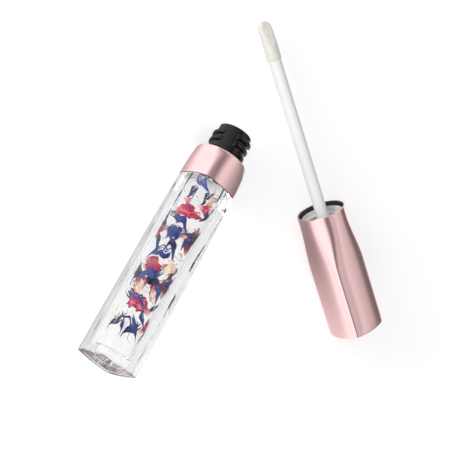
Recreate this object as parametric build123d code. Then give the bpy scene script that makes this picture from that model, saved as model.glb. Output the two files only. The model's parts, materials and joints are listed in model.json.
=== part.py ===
"""Lip gloss tube with a screw cap and a flocked wand, opened and laid on a table.

Every piece is drawn once in the closed tube's own frame: the bottle stands on its base at
z = 0 with its axis on Z, and the cap's pieces use the same axis with z = 0 at the cap's rim.
The two halves are then laid down on one side each, the way they rest when the tube is open.
Lengths are in millimetres and angles in degrees.
"""
import os
from math import atan2, cos, pi, radians, sin, sqrt, tan

from build123d import *

# Outer form: a circle where cap and collar meet, a square with bulged sides elsewhere
mid_side = 8.25            # axis to the middle of every side, the same all along the tube
corner_radius = 1.5        # rounding of the square's corners
side_arcs = 4              # arcs that each bulged side is drawn in, so that its lofts stay light
corner_arcs = 2            # arcs that each rounded corner is drawn in
blend_steps = 5            # lofts in which the cap goes from round to square
dome_steps = 4             # lofts in which the collar's corners dome in
base_corner = 10.1         # axis to corner at the bottle's base
body_corner = 9.9          # axis to corner where the bottle starts to narrow
collar_corner = 9.5        # axis to corner at the collar's lower edge
cap_corner = 9.2           # axis to corner at the cap's closed end
edge_break = 0.45          # bevel round the base and round the cap's closed end

# Bottle
glass_height = 66.0        # from the base to the collar's lower edge
narrowing_length = 21.0    # of the bottle's upper part, below the collar
base_thickness = 4.0
cavity_bottom_radius = 4.9
cavity_top_radius = 5.15
cavity_bevel = 1.5         # broken inner edge between the cavity's floor and wall
mouth_radius = 5.3
shoulder_height = 9.0      # glass hidden inside the collar

# Collar
collar_height = 11.0
collar_wall = 1.0
collar_top_thickness = 1.0
collar_clearance = 0.05

# Neck fitting
neck_height = 9.9          # above the collar
neck_base_radius = 6.3
neck_base_height = 1.3
neck_core_radius = 5.55
neck_bore_radius = 4.3
neck_rim_chamfer = 0.4
plug_length = 6.0
fit_clearance = 0.05       # between pieces that are pushed or glued together
gasket_thickness = 0.5
thread_crest_radius = 6.45
thread_pitch = 2.5
thread_turns = 2.2
thread_root_width = 1.8
thread_crest_width = 1.0
thread_gap_angle = 46.0    # each of the two smooth bands that interrupt the thread
thread_gap_turn = 135.0    # from mid-side to the bands, which stand over two corners
thread_start = 0.9         # thread's lower end above the neck's base ring
thread_seat = 0.1          # depth of the thread's root in the neck

# Wiper
wiper_flange_radius = 4.9
wiper_flange_thickness = 0.8
wiper_wall = 0.7
wiper_length = 13.0
wiper_orifice_radius = 2.25
wiper_cone_height = 3.0

# Contents
oil_film = 0.02            # between the oil and the walls that it wets
oil_headspace = 1.0        # below the neck's plug
wand_way_radius = 3.0      # way that the wand leaves through the oil
petal_thickness = 0.12
petal_facets = 24          # flats round a full turn that a petal is bent over
golden_angle = 137.5       # turn from each petal to the next one up
blue_count = 12
blue_length = 10.0
blue_width = 2.2
blue_slant = 35.0
blue_depth = 0.75          # place between the wand's way (0) and the cavity's wall (1)
red_count = 7
red_length = 7.5
red_width = 3.6
red_slant = 60.0
red_depth = 0.45
fleck_count = 16
fleck_length = 2.2
fleck_width = 1.3
fleck_slant = 20.0
fleck_depth = 0.15

# Cap
cap_height = 44.4
cap_round_length = 3.0     # round part at the rim
cap_square_length = 24.0   # square part at the closed end
shell_wall = 0.5
shell_end_wall = 1.0
inner_cap_recess = 1.5     # its rim stands back from the shell's rim
inner_cap_radius = 7.2
inner_cap_bore_radius = 6.6
inner_cap_roof_height = 10.8
inner_cap_roof_thickness = 1.4
inner_cap_upper_bore = 6.4
locating_band_width = 4.0
locating_band_gap = 0.05
lower_band_height = 14.0   # of the two bands that seat the liner in the shell
closing_gap = 0.1          # between the closed cap's rim and the collar
washer_thickness = 0.8
washer_gap = 0.05
running_clearance = 0.1    # between pieces that turn in each other
weight_length = 24.0
weight_bore_radius = 4.0
weight_gap = 0.2

# Wand
wand_reach = 67.4          # from the cap's rim to the applicator's tip
stem_radius = 2.1
stem_bore_radius = 0.95
stem_head_radius = 3.6
stem_head_thickness = 1.2
boss_radius = 2.9
boss_length = 3.9
boss_taper = 1.5
spigot_radius = 1.2
spigot_length = 4.0
core_pin_radius = 0.75
core_pin_length = 13.0
core_pin_gap = 0.5         # between the pin and the blind end of the stem's bore
applicator_length = 13.3
applicator_radius = 2.5
flock_thickness = 0.35
slant_length = 8.5         # length of the slanted face, from the tip
slant_depth = 2.1          # how much the slanted face takes off at the tip

# How the cap screws on, comes off and is laid down beside the bottle
thread_start_turns = 1.5   # from the first catch of the thread to closed
tip_clearance = 5.0        # tip to neck rim once the wand is drawn out in line
cap_rest_angle = -120.8    # the cap's heading on the table, seen from above
cap_rest_x = -87.9         # the cap's rim on the table, from the bottle's base
cap_rest_y = 45.7

# Heights that follow
collar_bottom = glass_height
collar_top = collar_bottom + collar_height
glass_top = collar_bottom + shoulder_height
plate_bottom = collar_top - collar_top_thickness
neck_top = collar_top + neck_height
thread_travel = thread_pitch * thread_start_turns
applicator_root = wand_reach - applicator_length
drawn_out = neck_top + tip_clearance + wand_reach       # rim to base, wand just out
closed_rim = collar_top + closing_gap
insert_travel = drawn_out - closed_rim - thread_travel


def side_bulge(corner):
    """Corner arc's centre on its diagonal, and the side arc's radius, where both arcs are tangent."""
    k = (corner - corner_radius) / sqrt(2)
    bulge = (k * k + (k - mid_side) ** 2 - corner_radius ** 2) / (2 * (mid_side - k - corner_radius))
    return k, bulge


def side_angle(corner):
    """Half the angle that a side arc turns through."""
    k, bulge = side_bulge(corner)
    return atan2(k, k - mid_side + bulge)


def facings(corner):
    """Ways that the ends of one quarter's arcs face, in radians round from mid-side."""
    angle = side_angle(corner)
    side_step = 2 * angle / side_arcs
    corner_step = (pi / 2 - 2 * angle) / corner_arcs
    along_side = [side_step * step - angle for step in range(side_arcs)]
    return along_side + [corner_step * step + angle for step in range(corner_arcs + 1)]


def section(z, corner, place):
    """Closed section at height z, each arc facing as in the square with this corner."""
    edges = []
    ends = facings(corner)
    for quarter in range(4):
        for start, end in zip(ends, ends[1:]):
            points = [Vector(*place(angle), z) for angle in (start, (start + end) / 2, end)]
            edges.append(Edge.make_three_point_arc(*[p.rotate(Axis.Z, -90 * quarter) for p in points]))
    return Face(Wire(edges))


def square_place(angle, corner, inset):
    """Point where the bulged square, set in by inset, faces at this angle from mid-side."""
    k, bulge = side_bulge(corner)
    rounding = corner_radius - inset
    if angle > side_angle(corner):
        return k + rounding * sin(angle), k + rounding * cos(angle)
    return (bulge - inset) * sin(angle), mid_side - bulge + (bulge - inset) * cos(angle)


def square_section(z, corner, inset=0.0):
    """Square with four bulged sides and rounded corners, at height z and set in by inset."""
    return section(z, corner, lambda angle: square_place(angle, corner, inset))


def blended_section(z, corner, squareness):
    """Section between a circle (squareness 0) and the square with this corner (squareness 1)."""

    def place(angle):
        round_point = mid_side * sin(angle), mid_side * cos(angle)
        square_point = square_place(angle, corner, 0)
        return [r + squareness * (s - r) for r, s in zip(round_point, square_point)]

    return section(z, corner, place)


def loft_of(*sections):
    """Straight-sided solid through the sections."""
    return Solid.make_loft([s.outer_wire() for s in sections], ruled=True)


def turned(*profile):
    """Solid of revolution about Z from (radius, z) points."""
    points = [(r, 0, z) for r, z in profile]
    return revolve(Face(Wire.make_polygon([Vector(*p) for p in points])), Axis.Z, 360)


def tube(outer, inner, bottom, top):
    """Plain ring between two radii and two heights."""
    return turned((inner, bottom), (outer, bottom), (outer, top), (inner, top))


def rod(radius, bottom, top):
    """Plain cylinder on Z between two heights."""
    return Pos(0, 0, bottom) * Cylinder(radius, top - bottom, align=(Align.CENTER, Align.CENTER, Align.MIN))


# ---------------------------------------------------------------- bottle side

def cavity():
    """Space inside the glass: drawn slightly wider upwards, with the mouth for the plug."""
    plug_bottom = glass_top - plug_length - fit_clearance
    return turned((0, base_thickness), *bevelled_floor(0), (cavity_top_radius, plug_bottom),
                  (mouth_radius, plug_bottom), (mouth_radius, glass_top), (0, glass_top))


def bevelled_floor(inset):
    """The cavity's lower corner in two bevels, set in by inset, as (radius, z) points."""
    radius, floor = cavity_bottom_radius - inset, base_thickness + inset
    third = cavity_bevel / 3
    return [(radius - cavity_bevel, floor), (radius - third, floor + third),
            (radius, floor + cavity_bevel)]


def bottle():
    """Thick-walled clear bottle with its shoulder set in under the collar."""
    body = loft_of(square_section(0, base_corner, edge_break),
                   square_section(edge_break, base_corner),
                   square_section(collar_bottom - narrowing_length, body_corner),
                   square_section(collar_bottom, collar_corner))
    shoulder = rod(mid_side - collar_wall - collar_clearance, collar_bottom, glass_top)
    return body + shoulder - cavity()


def collar():
    """Metallised ring over the bottle's shoulder, square below, its corners domed in to a circle."""
    sections = []
    for step in range(dome_steps + 1):
        angle = pi / 2 * step / dome_steps
        sections.append(blended_section(collar_bottom + collar_height * sin(angle), collar_corner, cos(angle)))
    outside = loft_of(*sections)
    bore = rod(mid_side - collar_wall, collar_bottom, plate_bottom)
    return outside - bore - rod(neck_base_radius + fit_clearance, plate_bottom, collar_top)


def neck_thread():
    """Coarse right-hand thread with two smooth bands across it."""
    start = collar_top + neck_base_height + thread_start
    root = neck_core_radius - thread_seat
    helix = Helix(thread_pitch, thread_pitch * thread_turns, neck_core_radius, center=(0, 0, start))
    half_root, half_crest = thread_root_width / 2, thread_crest_width / 2
    profile = [(root, start - half_root), (thread_crest_radius, start - half_crest),
               (thread_crest_radius, start + half_crest), (root, start + half_root)]
    face = Face(Wire.make_polygon([Vector(r, 0, z) for r, z in profile]))
    ridge = sweep(face, path=helix, is_frenet=True)
    reach = 2 * thread_crest_radius
    half_gap = reach * tan(radians(thread_gap_angle / 2))
    wedge = [Vector(0, 0, 0), Vector(reach, -half_gap, 0), Vector(reach, half_gap, 0)]
    gap = Pos(0, 0, collar_top) * extrude(Face(Wire.make_polygon(wedge)), neck_height, dir=(0, 0, 1))
    for turn in (0, 180):
        ridge -= Rot(0, 0, turn + thread_gap_turn) * gap
    return ridge


def neck():
    """Black neck: plug in the bottle's mouth, flange under the collar, threaded top."""
    plug_radius = mouth_radius - fit_clearance
    flange_radius = mid_side - collar_wall - 3 * fit_clearance
    flange_bottom = glass_top + gasket_thickness
    counterbore = neck_top - wiper_flange_thickness
    plug_bottom = glass_top - plug_length
    ring_top = collar_top + neck_base_height
    body = turned((neck_bore_radius, plug_bottom), (plug_radius, plug_bottom),
                  (plug_radius, flange_bottom), (flange_radius, flange_bottom),
                  (flange_radius, plate_bottom), (neck_base_radius, plate_bottom),
                  (neck_base_radius, ring_top), (neck_core_radius, ring_top),
                  (neck_core_radius, neck_top - neck_rim_chamfer),
                  (neck_core_radius - neck_rim_chamfer, neck_top),
                  (wiper_flange_radius + fit_clearance, neck_top),
                  (wiper_flange_radius + fit_clearance, counterbore), (neck_bore_radius, counterbore))
    return body + neck_thread()


def neck_gasket():
    """Soft ring between the neck's flange and the top of the glass."""
    plug_radius = mouth_radius - fit_clearance
    return tube(mid_side - collar_wall - 4 * fit_clearance, plug_radius + fit_clearance,
                glass_top, glass_top + gasket_thickness)


def wiper():
    """Soft insert: flange in the neck's rim, thin sleeve, and a cone that wipes the wand."""
    outer = neck_bore_radius - fit_clearance
    inner = outer - wiper_wall
    bottom = neck_top - wiper_length
    cone_top = bottom + wiper_cone_height
    return turned((wiper_orifice_radius, bottom), (wiper_orifice_radius + wiper_wall, bottom),
                  (outer, cone_top), (outer, neck_top - wiper_flange_thickness),
                  (wiper_flange_radius, neck_top - wiper_flange_thickness),
                  (wiper_flange_radius, neck_top), (inner, neck_top), (inner, cone_top))


def petal(radius, length, width, slant):
    """Thin pointed blade, bent over the flats of a many-sided ring about the bottle's axis."""
    tip, belly, waist = length / 2, width / 2, length / 5
    outline = [(0, -tip), (belly, -waist), (belly, waist), (0, tip), (-belly, waist), (-belly, -waist)]
    face = Face(Wire.make_polygon([Vector(0, y, z) for y, z in outline]))
    blade = Rot(slant, 0, 0) * extrude(face, radius + 2 * petal_thickness, dir=(1, 0, 0))
    ring = RegularPolygon(radius + petal_thickness, petal_facets)
    ring -= RegularPolygon(radius, petal_facets)
    return blade & extrude(Pos(0, 0, -length) * ring, 2 * length)


def petal_group(count, depth, length, width, slant, first_turn):
    """Petals up the cavity, each turned by the golden angle from the one below."""
    radius = wand_way_radius + depth * (cavity_bottom_radius - wand_way_radius)
    low = base_thickness + cavity_bevel + length / 2
    high = glass_top - plug_length - oil_headspace - length / 2
    petals = []
    for index in range(count):
        turn = first_turn + golden_angle * index
        height = low + (high - low) * index / (count - 1)
        lean = slant if index % 2 else -slant
        blade = petal(radius, length, width, lean)
        petals.append(Pos(0, 0, height) * Rot(0, 0, turn) * blade)
    return Compound([solid for p in petals for solid in p.solids()])


def petal_nodes():
    """Blue petals outermost, red petals inside them, pale flecks innermost."""
    third = golden_angle / 3
    return {"blue_petals": petal_group(blue_count, blue_depth, blue_length, blue_width, blue_slant, 0),
            "red_petals": petal_group(red_count, red_depth, red_length, red_width, red_slant, third),
            "petal_flecks": petal_group(fleck_count, fleck_depth, fleck_length, fleck_width,
                                        fleck_slant, 2 * third)}


def gloss_oil(petals):
    """Clear oil round the petals, with the way that the wand has left in it."""
    top = glass_top - plug_length - oil_headspace
    height = top - base_thickness
    share = height / (glass_top - plug_length - fit_clearance - base_thickness)
    top_radius = cavity_bottom_radius + (cavity_top_radius - cavity_bottom_radius) * share
    oil = turned((0, base_thickness + oil_film), *bevelled_floor(oil_film),
                 (top_radius - 2 * oil_film, top), (0, top))
    tip_height = collar_top - wand_reach
    oil -= rod(wand_way_radius, (base_thickness + tip_height) / 2, top)
    for group in petals.values():
        oil -= group
    return oil


# ------------------------------------------------------------------- cap side

def cap_shell():
    """Thin metal shell: round at the rim, square at the closed end."""
    end = cap_height
    inner_top = end - shell_end_wall
    blend_length = end - cap_square_length - cap_round_length
    sections = [blended_section(0, cap_corner, 0)]
    for step in range(blend_steps + 1):
        share = step / blend_steps
        squareness = share * share * (3 - 2 * share)
        sections.append(blended_section(cap_round_length + blend_length * share, cap_corner, squareness))
    outside = loft_of(*sections, square_section(end - edge_break, cap_corner),
                      square_section(end, cap_corner, edge_break))
    return outside - rod(mid_side - shell_wall, 0, inner_top)


def inner_cap():
    """White liner: bore that screws over the neck, roof that holds the wand, weight's room."""
    roof = inner_cap_roof_height
    roof_top = roof + inner_cap_roof_thickness
    top = cap_height - shell_end_wall
    hole = boss_radius - boss_taper / 2
    band_radius = mid_side - shell_wall - locating_band_gap
    outline = [(inner_cap_bore_radius, inner_cap_recess), (inner_cap_radius, inner_cap_recess),
               (inner_cap_radius, top), (inner_cap_upper_bore, top), (inner_cap_upper_bore, roof_top),
               (hole, roof_top), (hole, roof), (inner_cap_bore_radius, roof)]
    liner = turned(*outline)
    for bottom in (lower_band_height, top - 2 * locating_band_width):
        liner += tube(band_radius, (inner_cap_radius + inner_cap_upper_bore) / 2,
                      bottom, bottom + locating_band_width)
    return liner


def seal_washer():
    """Flat ring under the roof that seals on the neck's rim."""
    top = inner_cap_roof_height - washer_gap
    return tube(inner_cap_bore_radius - running_clearance, boss_radius + running_clearance,
                top - washer_thickness, top)


def cap_weight():
    """Steel sleeve that gives the cap its heft, loose along the axis in its room."""
    bottom = inner_cap_roof_height + inner_cap_roof_thickness + stem_head_thickness + weight_gap
    return tube(inner_cap_upper_bore - running_clearance, weight_bore_radius,
                bottom, bottom + weight_length)


def wand_stem():
    """Hollow stem: head above the roof, boss below it, spigot for the applicator."""
    roof = inner_cap_roof_height
    head_bottom = roof + inner_cap_roof_thickness
    head_top = head_bottom + stem_head_thickness
    neck_radius = boss_radius - boss_taper / 2 - fit_clearance
    boss_bottom = roof - boss_length
    outline = [(0, head_top), (stem_head_radius, head_top), (stem_head_radius, head_bottom),
               (neck_radius, head_bottom), (neck_radius, roof), (boss_radius, roof),
               (boss_radius, boss_bottom), (stem_radius, boss_bottom - boss_taper),
               (stem_radius, -applicator_root), (spigot_radius, -applicator_root),
               (spigot_radius, -applicator_root - spigot_length), (0, -applicator_root - spigot_length)]
    bore_bottom = -applicator_root + stem_radius - stem_bore_radius
    return turned(*outline) - rod(stem_bore_radius, bore_bottom, head_top)


def wand_core():
    """Thin stiffening pin in the stem's bore."""
    bottom = -applicator_root + stem_radius - stem_bore_radius + core_pin_gap
    return rod(core_pin_radius, bottom, bottom + core_pin_length)


def doe_foot(skin):
    """Round-nosed applicator with one slanted face, its surface set in by skin."""
    radius = applicator_radius - skin
    tip = -wand_reach + skin
    body = rod(radius, tip + radius, -applicator_root) + Pos(0, 0, tip + radius) * Sphere(radius)
    far = 4 * applicator_radius
    top = -wand_reach + slant_length
    slope = slant_depth / slant_length
    wedge = [Vector(radius, 0, top), Vector(radius - slope * (slant_length + far), 0, top - slant_length - far),
             Vector(radius + far, 0, top - slant_length - far), Vector(radius + far, 0, top)]
    cut = extrude(Face(Wire.make_polygon(wedge)), far, dir=(0, 1, 0), both=True)
    return body - cut


def applicator_core():
    """Moulded core under the flock, with the socket for the stem's spigot."""
    core = doe_foot(flock_thickness)
    return core - rod(spigot_radius, -applicator_root - spigot_length, -applicator_root)


def flock_tip():
    """Coat of short fibres round the core."""
    return doe_foot(0) - doe_foot(flock_thickness)


# ------------------------------------------------------- laying the tube down

def carry_pivot():
    """Point on the table about which the cap swings from beside the bottle into line with it."""
    swing = radians(-cap_rest_angle)
    c, s = cos(swing), sin(swing)
    x = -drawn_out - (c * cap_rest_x - s * cap_rest_y)
    y = -(s * cap_rest_x + c * cap_rest_y)
    scale = 2 * (1 - c)
    return (((1 - c) * x - s * y) / scale, (s * x + (1 - c) * y) / scale)


def laid_bottle():
    """Bottle on its side, neck towards -X."""
    return Pos(0, 0, mid_side) * Rot(0, -90, 0)


def laid_cap():
    """Cap on its side, heading at cap_rest_angle to the bottle."""
    return Pos(cap_rest_x, cap_rest_y, mid_side) * Rot(0, 0, cap_rest_angle) * Rot(0, -90, 0)


def pieces():
    """Every node at rest, centred over the origin and standing on z = 0."""
    petals = petal_nodes()
    bottle_side = {"bottle": bottle(), "gloss_oil": gloss_oil(petals), "collar": collar(),
                   "neck": neck(), "neck_gasket": neck_gasket(), "wiper": wiper()}
    bottle_side.update(petals)
    cap_side = {"cap_shell": cap_shell(), "inner_cap": inner_cap(), "seal_washer": seal_washer(),
                "cap_weight": cap_weight(), "wand_stem": wand_stem(), "wand_core": wand_core(),
                "applicator_core": applicator_core(), "flock_tip": flock_tip()}
    laid = {name: laid_bottle() * shape for name, shape in bottle_side.items()}
    laid.update({name: laid_cap() * shape for name, shape in cap_side.items()})
    return laid


def centre_of(laid):
    """Middle of the whole laid tube in plan."""
    boxes = [shape.bounding_box() for shape in laid.values()]
    low_x, high_x = min(b.min.X for b in boxes), max(b.max.X for b in boxes)
    low_y, high_y = min(b.min.Y for b in boxes), max(b.max.Y for b in boxes)
    return ((low_x + high_x) / 2, (low_y + high_y) / 2)


def main():
    os.makedirs("parts", exist_ok=True)
    laid = pieces()
    x, y = centre_of(laid)
    for name, shape in laid.items():
        export_step(Pos(-x, -y, 0) * shape, f"parts/{name}.step")


if __name__ == "__main__":
    main()
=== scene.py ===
"""Looks of a lip gloss tube: clear squared bottle of oil with petals, and a rose-gold cap with its wand."""
import json
import math

import bmesh
import bpy
import numpy as np
from mathutils import Matrix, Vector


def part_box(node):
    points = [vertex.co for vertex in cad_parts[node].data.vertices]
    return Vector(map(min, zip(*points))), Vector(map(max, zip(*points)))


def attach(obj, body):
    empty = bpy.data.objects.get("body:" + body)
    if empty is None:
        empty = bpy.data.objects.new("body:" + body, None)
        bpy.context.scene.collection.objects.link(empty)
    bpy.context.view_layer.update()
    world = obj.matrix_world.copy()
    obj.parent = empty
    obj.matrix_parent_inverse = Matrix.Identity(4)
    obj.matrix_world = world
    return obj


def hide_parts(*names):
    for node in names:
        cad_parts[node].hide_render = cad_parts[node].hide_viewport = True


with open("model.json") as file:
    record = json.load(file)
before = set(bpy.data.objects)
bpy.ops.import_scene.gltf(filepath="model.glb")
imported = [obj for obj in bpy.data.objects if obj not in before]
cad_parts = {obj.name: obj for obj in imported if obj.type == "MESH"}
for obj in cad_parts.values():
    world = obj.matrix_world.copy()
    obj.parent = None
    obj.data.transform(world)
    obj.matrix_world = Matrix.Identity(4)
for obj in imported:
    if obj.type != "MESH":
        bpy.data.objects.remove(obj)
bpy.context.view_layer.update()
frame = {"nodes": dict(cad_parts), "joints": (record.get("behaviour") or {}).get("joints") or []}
mm = 0.001

# ------------------------------------------------------------------ clear bottle
# Thick injection-moulded clear bottle: a square with bulged sides, a heavy foot with a shallow
# recess under it, and a round cavity. Its wall towards the oil bends light very little.

bottle_low, bottle_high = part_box("bottle")
collar_low, collar_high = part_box("collar")
base_x = bottle_high.x
axis_y = (bottle_low.y + bottle_high.y) / 2
mid_side = (bottle_high.z - bottle_low.z) / 2
glass_top = base_x - bottle_low.x
collar_bottom = base_x - collar_high.x

corner_radius = 1.5 * mm
base_corner = 10.1 * mm
body_corner = 9.9 * mm
collar_corner = 9.5 * mm
narrowing_length = 21.0 * mm
base_thickness = 4.0 * mm
stub_radius = 7.2 * mm
mouth_radius = 5.3 * mm
plug_length = 6.0 * mm
cavity_bottom_radius = 4.9 * mm
cavity_top_radius = 5.15 * mm
cavity_fillet = 1.5 * mm
foot_rounding = 0.6 * mm
foot_width = 1.35 * mm
foot_recess = 0.4 * mm
recess_rounding = 0.6 * mm
seat_gap = 0.04 * mm
fit_gap = 0.05 * mm
columns = 192


def arc(start, end, count):
    """Evenly spaced angles from start to end, both in degrees, given in radians."""
    return np.radians(np.linspace(start, end, count))


def turn_angles(count=columns):
    """Full turn of normal angles, measured from mid-side, closed on itself."""
    return np.linspace(0, 2 * np.pi, count + 1)


def squared(phi, side, corner, rounding):
    """Point of a bulged square whose normal is at phi: a large arc about a centre on the axis of
    each side up to the angle where it meets the corner's small arc, then that arc."""
    k = (corner - rounding) / math.sqrt(2)
    bulge = (k * k + (k - side) ** 2 - rounding ** 2) / (2 * (side - k - rounding))
    limit = math.atan2(k, k - side + bulge)
    quarter = np.round(phi / (np.pi / 2)) * np.pi / 2
    near = phi - quarter
    sign = np.where(near < 0, -1, 1)
    on_side = np.abs(near) <= limit
    across = np.where(on_side, bulge * np.sin(near), sign * k + rounding * np.sin(near))
    out = np.where(on_side, side - bulge + bulge * np.cos(near), k + rounding * np.cos(near))
    return np.stack([across * np.cos(quarter) + out * np.sin(quarter),
                     out * np.cos(quarter) - across * np.sin(quarter)], -1)


def circle(phi, radius):
    """Point of a circle whose normal is at phi."""
    return radius * np.stack([np.sin(phi), np.cos(phi)], -1)


def ring(outline, height):
    """Closed row of points: a flat outline lifted to one height."""
    return np.concatenate([outline, np.full((len(outline), 1), height)], -1)


def turned(profile, count=columns):
    """Grid of a solid of revolution: each (radius, height) of the profile carried round the axis."""
    profile = np.asarray(profile, float)
    phi = turn_angles(count)
    radius, height = profile[:, :1], profile[:, 1:]
    return np.stack([radius * np.sin(phi), radius * np.cos(phi), height + 0 * phi], -1)


def placed(name, data):
    """New object in the scene for a mesh, a lamp or a camera."""
    made = bpy.data.objects.new(name, data)
    bpy.context.scene.collection.objects.link(made)
    return made


def weld(mesh, within):
    """Merges points that coincide and turns the faces outward."""
    welded = bmesh.new()
    welded.from_mesh(mesh)
    bmesh.ops.remove_doubles(welded, verts=welded.verts, dist=within)
    bmesh.ops.recalc_face_normals(welded, faces=welded.faces)
    welded.to_mesh(mesh)
    welded.free()


def skin(name, grids, place, materials, smooth_below=32):
    """Mesh of one or more grids of points: four neighbours make a face, and points that coincide
    are merged, which closes seams and poles. place carries the points to where the piece lies."""
    points, faces, slots, start = [], [], [], 0
    for slot_index, grid in enumerate(grids):
        rows, cols = grid.shape[:2]
        index = np.arange(rows * cols).reshape(rows, cols) + start
        quads = np.stack([index[:-1, :-1], index[:-1, 1:], index[1:, 1:], index[1:, :-1]], -1)
        faces.append(quads.reshape(-1, 4))
        slots.append(np.full(len(faces[-1]), slot_index))
        points.append(grid.reshape(-1, 3))
        start += rows * cols
    mesh = bpy.data.meshes.new(name)
    mesh.from_pydata(place(np.concatenate(points)).tolist(), [], np.concatenate(faces).tolist())
    if len(materials) > 1:
        mesh.polygons.foreach_set("material_index", np.concatenate(slots).astype(np.int32))
    weld(mesh, 1e-7)
    mesh.shade_smooth()
    mesh.set_sharp_from_angle(angle=math.radians(smooth_below))
    for material in materials:
        mesh.materials.append(material)
    return placed(name, mesh)


def in_bottle(points):
    """Bottle's own frame, base at zero and mouth up, laid on its side."""
    x, y, z = points[..., 0], points[..., 1], points[..., 2]
    return np.stack([base_x - z, axis_y + y, mid_side + x], -1)


def foot_ring(share, lift):
    """Row of the foot's outline, drawn in to a share of its size."""
    return ring(squared(phi, mid_side, base_corner, corner_radius) * share, lift)


def fill(tree, made, inputs):
    """Gives a node's sockets, by name or number, a value each or an output that is joined to them."""
    for key, value in inputs.items():
        if isinstance(value, bpy.types.NodeSocket):
            tree.links.new(value, made.inputs[key])
        else:
            made.inputs[key].default_value = value
    return made


def node(tree, kind, inputs, **settings):
    """New shader node with its own settings, its sockets filled."""
    made = tree.nodes.new("ShaderNode" + kind)
    for key, value in settings.items():
        setattr(made, key, value)
    return fill(tree, made, inputs)


def shader(name, inputs):
    """New material, its node tree and its Principled shader, whose sockets are filled."""
    material = bpy.data.materials.new(name)
    material.use_nodes = True
    tree = material.node_tree
    return material, tree, fill(tree, tree.nodes["Principled BSDF"], inputs)


def clear(name, colour, bending):
    """Clear moulding or liquid. Shadow rays pass straight on, so that what is inside stays lit."""
    material, tree, body = shader(name, {"Base Color": (*colour, 1), "Transmission Weight": 1.0,
                                         "IOR": bending, "Roughness": 0.0})
    straight = node(tree, "BsdfTransparent", {"Color": (*colour, 1)})
    in_shadow = node(tree, "LightPath", {}).outputs["Is Shadow Ray"]
    choice = node(tree, "MixShader", {"Fac": in_shadow, 1: body.outputs[0], 2: straight.outputs[0]})
    fill(tree, tree.nodes["Material Output"], {"Surface": choice.outputs[0]})
    return material


phi = turn_angles()
foot = [foot_ring(share, foot_recess) for share in (0.0, 0.5, 1 - (foot_width + recess_rounding) / mid_side)]
for step in arc(0, 80, 5)[1:]:
    foot.append(foot_ring(1 - (foot_width + recess_rounding * math.cos(step)) / mid_side,
                          foot_recess * (1 - math.sin(step))))
for step in arc(0, 90, 10):
    foot.append(foot_ring(1 - foot_width * (1 - math.sin(step)) / mid_side,
                          foot_rounding * (1 - math.cos(step))))
narrowing = collar_bottom - narrowing_length
wall_heights = np.concatenate([np.linspace(foot_rounding, narrowing, 5)[1:],
                               np.linspace(narrowing, collar_bottom, 5)[1:]])
wall_corners = np.interp(wall_heights, (foot_rounding, narrowing, collar_bottom),
                         (base_corner, body_corner, collar_corner))
walls = [ring(squared(phi, mid_side, corner, corner_radius), height)
         for height, corner in zip(wall_heights, wall_corners)]
stub_top = glass_top - seat_gap
stub = [ring(circle(phi, stub_radius), collar_bottom), ring(circle(phi, stub_radius), stub_top),
        ring(circle(phi, mouth_radius), stub_top)]
plug_bottom = glass_top - plug_length - fit_gap
bowl = [(mouth_radius, stub_top), (mouth_radius, plug_bottom), (cavity_top_radius, plug_bottom)]
bowl += [(cavity_bottom_radius + (cavity_top_radius - cavity_bottom_radius) * share,
          base_thickness + cavity_fillet + (plug_bottom - base_thickness - cavity_fillet) * share)
         for share in (0.75, 0.5, 0.25)]
bowl += [(cavity_bottom_radius - cavity_fillet * (1 - math.cos(step)),
          base_thickness + cavity_fillet * (1 - math.sin(step))) for step in arc(0, 90, 9)]
bowl.append((0.0, base_thickness))
clear_wall = clear("clear wall", (0.995, 0.995, 1.0), 1.49)
wetted_wall = clear("clear wall against oil", (1.0, 1.0, 1.0), 1.10)
bottle = skin("clear_bottle", [np.stack(foot + walls + stub), turned(bowl)], in_bottle,
              [clear_wall, wetted_wall])
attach(bottle, "bottle")
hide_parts("bottle")

# ---------------------------------------------------------------------- collar
# Plastic ring metallised in rose gold, pushed over the bottle's shoulder: square where it meets
# the bottle, round on top. Satin, with a fine bright edge round its top. The dark rose colour on
# the chamfer at its lower edge is painted shade, where the collar meets the glass.

collar_top = base_x - collar_low.x
collar_wall = 1.0 * mm
collar_plate = 1.0 * mm
collar_edge = 0.28 * mm
collar_chamfer = 0.12 * mm
neck_base_radius = 6.3 * mm


def blended(phi, squareness, corner, inset=0.0):
    """Each point slides straight from the circle (squareness 0) to the point of the bulged square
    (squareness 1) that has the same normal."""
    round_one = circle(phi, mid_side - inset)
    square = squared(phi, mid_side - inset, corner - inset, corner_radius - inset)
    return round_one + (square - round_one) * squareness


def maths(tree, operation, *values, clamp=False):
    """Result of a calculation on values and outputs."""
    return node(tree, "Math", dict(enumerate(values)), operation=operation, use_clamp=clamp).outputs[0]


def noise(tree, where, scale, detail):
    """Cloudy noise at a place, 0 to 1, with its scale and detail."""
    return node(tree, "TexNoise", {"Vector": where, "Scale": scale, "Detail": detail}).outputs["Fac"]


def own_place(tree):
    """Place on the piece itself."""
    return node(tree, "TexCoord", {}).outputs["Object"]


def new_group(name, inputs, outputs):
    """New node group with number sockets, what its inside is given, and the node that gives back."""
    group = bpy.data.node_groups.new(name, "ShaderNodeTree")
    for label, value in inputs.items():
        group.interface.new_socket(label, in_out="INPUT", socket_type="NodeSocketFloat").default_value = value
    for label in outputs:
        group.interface.new_socket(label, in_out="OUTPUT", socket_type="NodeSocketFloat")
    return group, group.nodes.new("NodeGroupInput").outputs, group.nodes.new("NodeGroupOutput")


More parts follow.
